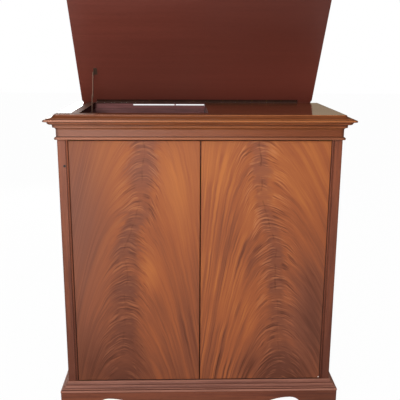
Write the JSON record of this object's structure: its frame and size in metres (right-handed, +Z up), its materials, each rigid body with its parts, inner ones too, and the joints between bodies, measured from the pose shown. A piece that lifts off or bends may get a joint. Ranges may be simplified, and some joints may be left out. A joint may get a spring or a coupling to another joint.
{
  "type": "phonograph console cabinet",
  "caption": "Two-door mahogany cabinet on a bracket plinth with a lift-up lid over a record player well, record storage and a loudspeaker bay.",
  "frame": {"origin": "on the floor under the middle of the cabinet's box as it stands with the lid open on its stay and the doors shut", "axes": "+Z up, -Y out of the front with the doors, +X to the right seen from the front"},
  "size_m": [0.889, 0.4488, 1.2963],
  "materials": {
    "mahogany": "semi-gloss polished mahogany",
    "crotch_veneer": "figured crotch veneer under lacquer",
    "dark_mahogany": "dark stained, semi-gloss",
    "moulding": "polished moulding",
    "inner_board": "stained, matt",
    "raw_board": "unfinished",
    "fibreboard": "pressed board",
    "dark_brass": "tarnished",
    "brass": "satin",
    "steel": "polished",
    "painted_steel": "satin paint",
    "deck_enamel": "hammered enamel",
    "rubber": "matt",
    "bakelite": "moulded",
    "ivory_plastic": "moulded",
    "grille_cloth": "woven",
    "cone_paper": "pressed paper"
  },
  "bodies": {
    "cabinet": {"amplifier_chassis": "painted_steel", "back_panel": "fibreboard", "base_moulding_front": "moulding", "base_moulding_left": "moulding", "base_moulding_right": "moulding", "base_runner_left": "raw_board", "base_runner_right": "raw_board", "bottom_board": "inner_board", "control_panel": "mahogany", "cornice_front": "moulding", "cornice_left": "moulding", "cornice_right": "moulding", "front_rail": "inner_board", "grille_cloth": "grille_cloth", "lid_hinge_lower_leaf": "dark_brass", "lid_hinge_pin": "steel", "mains_gland": "rubber", "motor": "painted_steel", "motor_board": "deck_enamel", "partition": "inner_board", "pivot_left_bottom": "brass", "pivot_left_top": "brass", "pivot_right_bottom": "brass", "pivot_right_top": "brass", "plinth_front": "mahogany", "plinth_left": "mahogany", "plinth_right": "mahogany", "record_divider": "inner_board", "record_shelf": "inner_board", "side_left": "mahogany", "side_right": "mahogany", "speaker_baffle": "raw_board", "speaker_cone": "cone_paper", "speaker_frame": "painted_steel", "spindle_bearing": "brass", "stay_wall_bracket": "brass", "tonearm_post": "painted_steel", "tonearm_rest": "bakelite", "top_board": "mahogany", "well_corner_block": "inner_board", "well_wall_front": "inner_board", "well_wall_left": "inner_board", "well_wall_rear": "inner_board"},
    "lid": {"lid_panel": "dark_mahogany", "lid_hinge_upper_leaf": "dark_brass", "stay_lid_bracket": "brass"},
    "stay_upper": {"stay_upper_link": "brass"},
    "stay_lower": {"stay_lower_link": "brass"},
    "left_door": {"door_left": "crotch_veneer"},
    "right_door": {"door_right": "crotch_veneer"},
    "turntable": {"platter": "deck_enamel", "platter_mat": "rubber", "spindle": "steel"},
    "idler": {"idler_wheel": "rubber"},
    "pulley": {"motor_pulley": "brass"},
    "arm_yoke": {"tonearm_yoke": "painted_steel"},
    "arm": {"tonearm": "ivory_plastic"},
    "speed_control": {"speed_knob": "bakelite"},
    "volume_control": {"volume_knob": "bakelite"},
    "tone_control": {"tone_knob": "bakelite"}
  },
  "joints": [
    {"name": "lid_hinge", "type": "hinge", "parent": "cabinet", "child": "lid", "pos_m": [0, 0.21113, 0.954], "axis": [-1, 0, 0], "range_deg": [-54.9, 0]},
    {"name": "stay_upper_pivot", "type": "hinge", "parent": "lid", "child": "stay_upper", "pos_m": [-0.3476, 0.12484, 1.05347], "axis": [-1, 0, 0], "range_deg": [-43.85, 0.01]},
    {"name": "stay_lower_pivot", "type": "hinge", "parent": "cabinet", "child": "stay_lower", "pos_m": [-0.3499, 0.08731, 0.91341], "axis": [-1, 0, 0], "range_deg": [-0.01, 59.26]},
    {"name": "left_door_swing", "type": "hinge", "parent": "cabinet", "child": "left_door", "pos_m": [-0.3705, -0.18637, 0.497], "axis": [0, 0, -1], "range_deg": [0, 110]},
    {"name": "right_door_swing", "type": "hinge", "parent": "cabinet", "child": "right_door", "pos_m": [0.3705, -0.18637, 0.497], "axis": [0, 0, 1], "range_deg": [0, 110]},
    {"name": "turntable_spin", "type": "hinge", "parent": "cabinet", "child": "turntable", "pos_m": [-0.192, 0.02128, 0.8623], "axis": [0, 0, 1], "continuous": true},
    {"name": "idler_spin", "type": "hinge", "parent": "cabinet", "child": "idler", "pos_m": [-0.11344, -0.04011, 0.841], "axis": [0, 0, 1], "continuous": true},
    {"name": "motor_spin", "type": "hinge", "parent": "cabinet", "child": "pulley", "pos_m": [-0.11573, -0.01391, 0.841], "axis": [0, 0, 1], "continuous": true},
    {"name": "tonearm_swing", "type": "hinge", "parent": "cabinet", "child": "arm_yoke", "pos_m": [-0.0365, 0.11583, 0.8823], "axis": [0, 0, -1], "range_deg": [0, 40]},
    {"name": "tonearm_lift", "type": "hinge", "parent": "arm_yoke", "child": "arm", "pos_m": [-0.0365, 0.11583, 0.8823], "axis": [-1, 0, 0], "range_deg": [0, 15]},
    {"name": "speed_turn", "type": "hinge", "parent": "cabinet", "child": "speed_control", "pos_m": [-0.0215, -0.10327, 0.827], "axis": [0, 0, 1], "range_deg": [0, 150]},
    {"name": "volume_turn", "type": "hinge", "parent": "cabinet", "child": "volume_control", "pos_m": [0.15225, -0.13427, 0.8127], "axis": [0, -1, 0], "range_deg": [0, 270]},
    {"name": "tone_turn", "type": "hinge", "parent": "cabinet", "child": "tone_control", "pos_m": [0.27225, -0.13427, 0.8127], "axis": [0, -1, 0], "range_deg": [0, 270]}
  ],
  "couplings": [
    {"joint": "stay_upper_pivot", "follows": "lid_hinge", "ratio": 0.79851},
    {"joint": "stay_lower_pivot", "follows": "lid_hinge", "ratio": -1.0791},
    {"joint": "idler_spin", "follows": "turntable_spin", "ratio": 5.5455},
    {"joint": "motor_spin", "follows": "turntable_spin", "ratio": -30.5}
  ]
}
